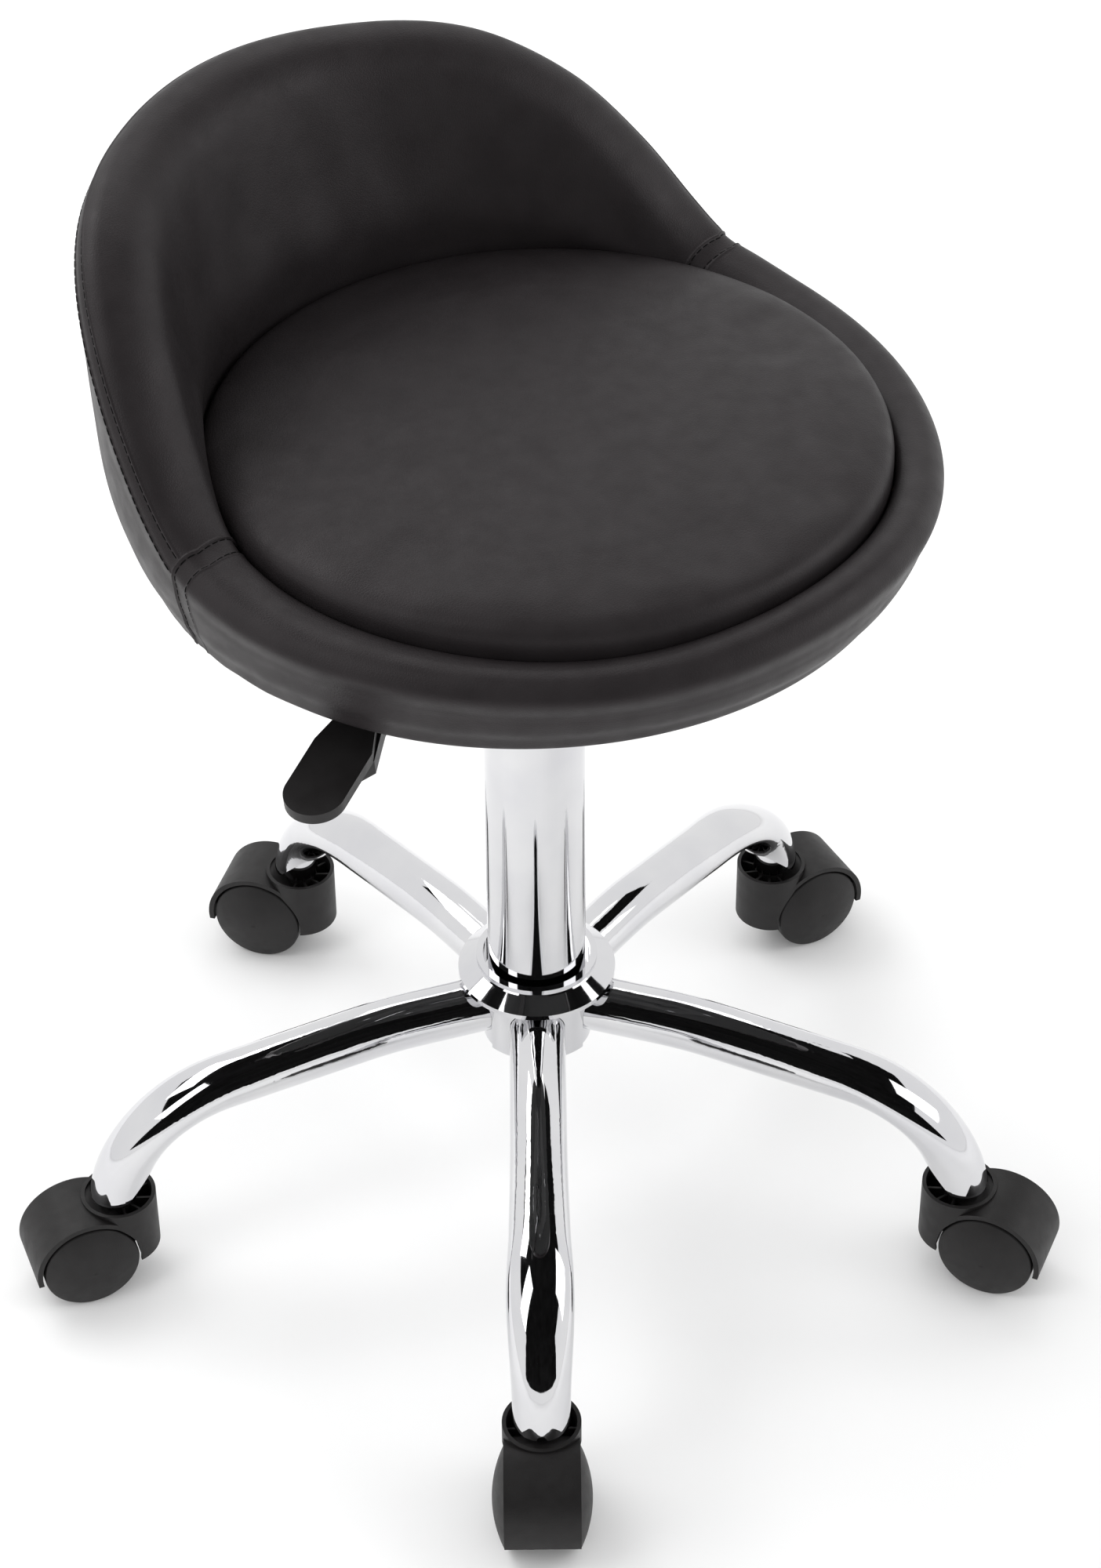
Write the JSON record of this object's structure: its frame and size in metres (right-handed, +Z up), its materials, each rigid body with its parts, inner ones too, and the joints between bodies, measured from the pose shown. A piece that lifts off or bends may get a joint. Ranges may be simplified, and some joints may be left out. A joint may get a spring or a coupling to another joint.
{
  "type": "adjustable swivel stool",
  "caption": "Low-back padded swivel stool on a chrome five-leg base with hooded twin-wheel casters; a side lever releases the gas lift.",
  "frame": {"origin": "on the floor under the centre of the gas-lift column", "axes": "+Z up along the column; the sitter faces -Y, the backrest is on the +Y side and the height lever on the -X side"},
  "size_m": [0.53, 0.5361, 0.593],
  "materials": {
    "chrome_steel": "polished chrome plate over steel tube",
    "bare_steel": "zinc-plated steel",
    "black_plastic": "fine-textured black nylon",
    "lever_plastic": "satin black polypropylene",
    "faux_leather": "black faux leather, soft sheen, fine grain, over foam",
    "plywood": "birch plywood",
    "cover_cloth": "black non-woven dust cloth",
    "painted_steel": "black powder coat",
    "rubber": "black rubber"
  },
  "bodies": {
    "base": {"hub": "chrome_steel", "caster_sockets": "chrome_steel", "caster_grip_rings": "bare_steel", "outer_tube": "chrome_steel", "tube_base_plate": "bare_steel", "thrust_bearing": "bare_steel", "rubber_bumper": "rubber", "guide_bush": "black_plastic", "leg_1": "chrome_steel", "leg_2": "chrome_steel", "leg_3": "chrome_steel", "leg_4": "chrome_steel", "leg_5": "chrome_steel", "caster_stem_1": "bare_steel", "caster_stem_2": "bare_steel", "caster_stem_3": "bare_steel", "caster_stem_4": "bare_steel", "caster_stem_5": "bare_steel"},
    "lift_rod": {"piston_rod": "bare_steel", "piston": "bare_steel", "retaining_clip": "bare_steel"},
    "seat": {"pressure_tube": "painted_steel", "rod_guide": "bare_steel", "seat_plate": "painted_steel", "taper_socket": "painted_steel", "lever_pivot_pin": "bare_steel", "plate_bolts": "bare_steel", "tee_nuts": "bare_steel", "seat_board": "plywood", "dust_cover": "cover_cloth", "back_cushion": "faux_leather", "front_rim": "faux_leather", "back_shell": "plywood", "seat_pad": "faux_leather"},
    "lever": {"lever_rod": "chrome_steel", "lever_handle": "lever_plastic"},
    "release_pin": {"release_pin": "bare_steel"},
    "caster_1": {"caster_hood_1": "black_plastic", "caster_axle_1": "bare_steel"},
    "wheel_left_1": {"caster_wheel_left_1": "black_plastic"},
    "wheel_right_1": {"caster_wheel_right_1": "black_plastic"},
    "caster_2": {"caster_hood_2": "black_plastic", "caster_axle_2": "bare_steel"},
    "wheel_left_2": {"caster_wheel_left_2": "black_plastic"},
    "wheel_right_2": {"caster_wheel_right_2": "black_plastic"},
    "caster_3": {"caster_hood_3": "black_plastic", "caster_axle_3": "bare_steel"},
    "wheel_left_3": {"caster_wheel_left_3": "black_plastic"},
    "wheel_right_3": {"caster_wheel_right_3": "black_plastic"},
    "caster_4": {"caster_hood_4": "black_plastic", "caster_axle_4": "bare_steel"},
    "wheel_left_4": {"caster_wheel_left_4": "black_plastic"},
    "wheel_right_4": {"caster_wheel_right_4": "black_plastic"},
    "caster_5": {"caster_hood_5": "black_plastic", "caster_axle_5": "bare_steel"},
    "wheel_left_5": {"caster_wheel_left_5": "black_plastic"},
    "wheel_right_5": {"caster_wheel_right_5": "black_plastic"}
  },
  "joints": [
    {"name": "seat_swivel", "type": "hinge", "parent": "base", "child": "lift_rod", "pos_m": [0, 0, 0.11], "axis": [0, 0, 1], "continuous": true},
    {"name": "seat_height", "type": "slide", "parent": "lift_rod", "child": "seat", "axis": [0, 0, 1], "range_m": [0, 0.12]},
    {"name": "lever_lift", "type": "hinge", "parent": "seat", "child": "lever", "pos_m": [-0.03, 0, 0.414], "axis": [0, 1, 0], "range_deg": [0, 5.6], "stiffness_Nm_per_rad": 4, "springref_deg": -2.86},
    {"name": "release_press", "type": "slide", "parent": "seat", "child": "release_pin", "axis": [0, 0, -1], "range_m": [0, 0.003]},
    {"name": "caster_swivel_1", "type": "hinge", "parent": "base", "child": "caster_1", "pos_m": [-0.16751, -0.15349, 0.05], "axis": [0, 0, 1], "continuous": true},
    {"name": "wheel_left_spin_1", "type": "hinge", "parent": "caster_1", "child": "wheel_left_1", "pos_m": [-0.18314, -0.16782, 0.025], "axis": [0.6756, -0.7373, 0], "continuous": true},
    {"name": "wheel_right_spin_1", "type": "hinge", "parent": "caster_1", "child": "wheel_right_1", "pos_m": [-0.18314, -0.16782, 0.025], "axis": [0.6756, -0.7373, 0], "continuous": true},
    {"name": "caster_swivel_2", "type": "hinge", "parent": "base", "child": "caster_2", "pos_m": [0.09422, -0.20674, 0.05], "axis": [0, 0, 1], "continuous": true},
    {"name": "wheel_left_spin_2", "type": "hinge", "parent": "caster_2", "child": "wheel_left_2", "pos_m": [0.10115, -0.22678, 0.025], "axis": [0.9449, 0.3272, 0], "continuous": true},
    {"name": "wheel_right_spin_2", "type": "hinge", "parent": "caster_2", "child": "wheel_right_2", "pos_m": [0.10115, -0.22678, 0.025], "axis": [0.9449, 0.3272, 0], "continuous": true},
    {"name": "caster_swivel_3", "type": "hinge", "parent": "base", "child": "caster_3", "pos_m": [0.22574, 0.02572, 0.05], "axis": [0, 0, 1], "continuous": true},
    {"name": "wheel_left_spin_3", "type": "hinge", "parent": "caster_3", "child": "wheel_left_3", "pos_m": [0.24567, 0.0185, 0.025], "axis": [0.3404, 0.9403, 0], "continuous": true},
    {"name": "wheel_right_spin_3", "type": "hinge", "parent": "caster_3", "child": "wheel_right_3", "pos_m": [0.24567, 0.0185, 0.025], "axis": [0.3404, 0.9403, 0], "continuous": true},
    {"name": "caster_swivel_4", "type": "hinge", "parent": "base", "child": "caster_4", "pos_m": [0.0453, 0.22264, 0.05], "axis": [0, 0, 1], "continuous": true},
    {"name": "wheel_left_spin_4", "type": "hinge", "parent": "caster_4", "child": "wheel_left_4", "pos_m": [0.0361, 0.24174, 0.025], "axis": [-0.9011, -0.4337, 0], "continuous": true},
    {"name": "wheel_right_spin_4", "type": "hinge", "parent": "caster_4", "child": "wheel_right_4", "pos_m": [0.0361, 0.24174, 0.025], "axis": [-0.9011, -0.4337, 0], "continuous": true},
    {"name": "caster_swivel_5", "type": "hinge", "parent": "base", "child": "caster_5", "pos_m": [-0.19775, 0.11188, 0.05], "axis": [0, 0, 1], "continuous": true},
    {"name": "wheel_left_spin_5", "type": "hinge", "parent": "caster_5", "child": "wheel_left_5", "pos_m": [-0.21667, 0.12144, 0.025], "axis": [-0.4509, -0.8926, 0], "continuous": true},
    {"name": "wheel_right_spin_5", "type": "hinge", "parent": "caster_5", "child": "wheel_right_5", "pos_m": [-0.21667, 0.12144, 0.025], "axis": [-0.4509, -0.8926, 0], "continuous": true}
  ],
  "couplings": [
    {"joint": "release_press", "follows": "lever_lift", "m_per_rad": 0.03}
  ]
}
